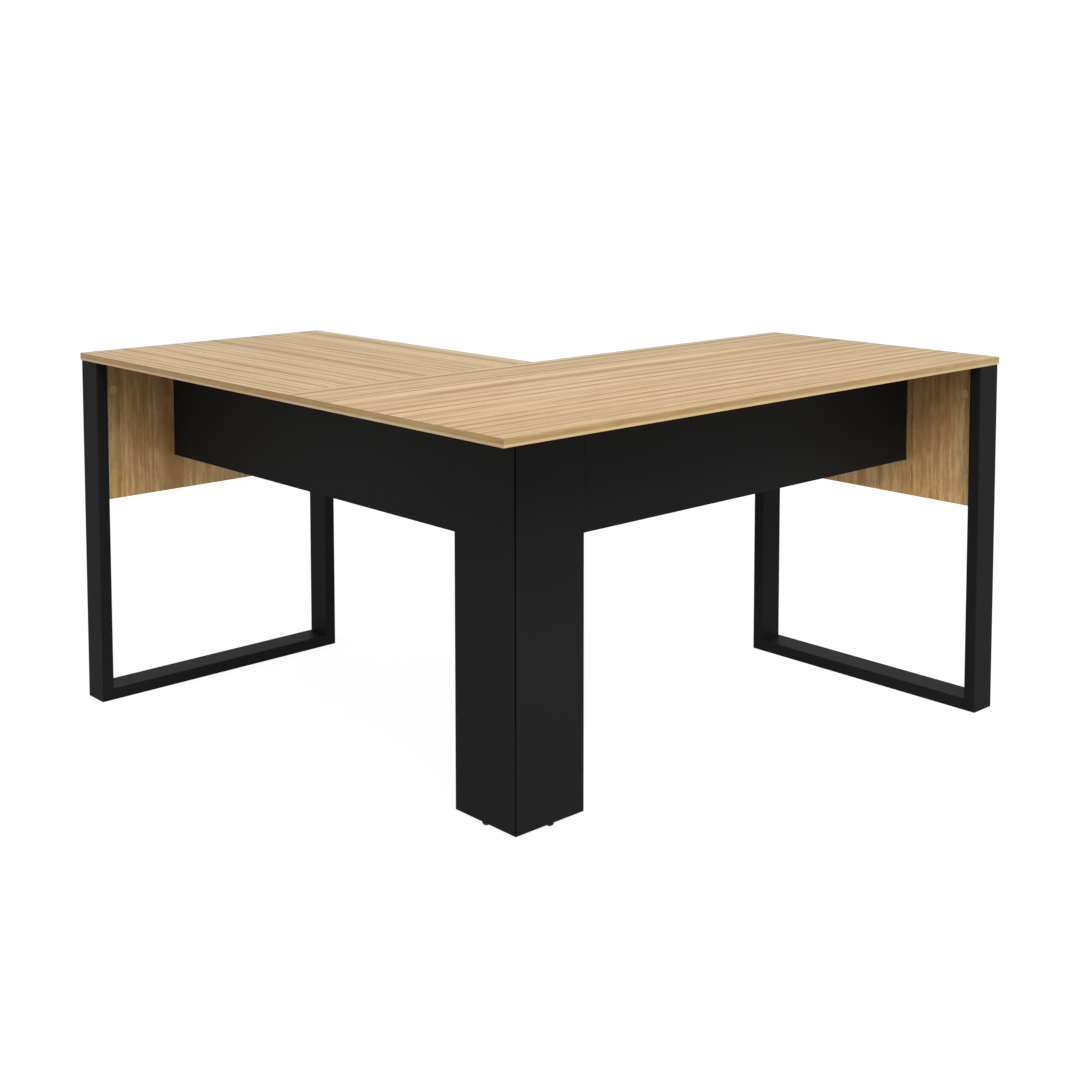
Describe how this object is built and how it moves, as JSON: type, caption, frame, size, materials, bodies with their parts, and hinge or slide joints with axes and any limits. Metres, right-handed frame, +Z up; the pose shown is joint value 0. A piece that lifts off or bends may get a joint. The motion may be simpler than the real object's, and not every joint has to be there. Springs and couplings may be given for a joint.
{
  "type": "corner desk",
  "caption": "L-shaped corner desk: wood-look worktops on black aprons, an angle-section corner leg and open U-frames closed at the top by end panels.",
  "frame": {"origin": "on the floor, under the centre of the desk's square outline", "axes": "+Z up; +X along the main arm, away from the corner; +Y along the return arm, away from the corner; the outer corner of the L is at -X -Y"},
  "size_m": [1.36, 1.36, 0.74],
  "materials": {
    "wood_laminate": "satin laminate, light oak look with fine straight darker grain along each worktop and upright on the end panels",
    "wood_edge_band": "satin edge band, oak look, a little darker than the faces",
    "black_laminate": "black satin laminate on particle board, very fine pore texture",
    "black_edge_band": "black satin edge band",
    "frame_paint": "black satin powder coat on steel tube",
    "black_plastic": "black moulded plastic",
    "cap_plastic": "pinkish tan moulded plastic",
    "zinc_steel": "bright zinc-plated steel",
    "cast_zinc": "dull cast zinc alloy",
    "beech": "plain turned beech"
  },
  "bodies": {
    "root": {"main_top": "wood_laminate", "main_top_edge_band": "wood_edge_band", "return_top": "wood_laminate", "return_top_edge_band": "wood_edge_band", "top_seam_dowels": "beech", "top_joining_plates": "zinc_steel", "joining_plate_screws": "zinc_steel", "main_leg_board": "black_laminate", "return_leg_board": "black_laminate", "main_leg_edge_band": "black_edge_band", "return_leg_edge_band": "black_edge_band", "leg_corner_brackets": "zinc_steel", "corner_bracket_screws": "zinc_steel", "leg_glides": "black_plastic", "glide_nails": "zinc_steel", "main_apron": "black_laminate", "return_apron": "black_laminate", "main_apron_edge_band": "black_edge_band", "return_apron_edge_band": "black_edge_band", "apron_dowels": "beech", "main_end_panel": "wood_laminate", "return_end_panel": "wood_laminate", "main_panel_edge_band": "wood_edge_band", "return_panel_edge_band": "wood_edge_band", "main_frame_outer_post": "frame_paint", "main_frame_inner_post": "frame_paint", "main_frame_floor_bar": "frame_paint", "return_frame_outer_post": "frame_paint", "return_frame_inner_post": "frame_paint", "return_frame_floor_bar": "frame_paint", "post_end_caps": "black_plastic", "post_weld_nuts": "zinc_steel", "apron_cams": "cast_zinc", "leg_cams": "cast_zinc", "panel_cams": "cast_zinc", "board_cam_bolts": "zinc_steel", "frame_cam_bolts": "zinc_steel", "apron_cam_caps": "black_plastic", "panel_cam_caps": "cap_plastic"}
  },
  "joints": []
}
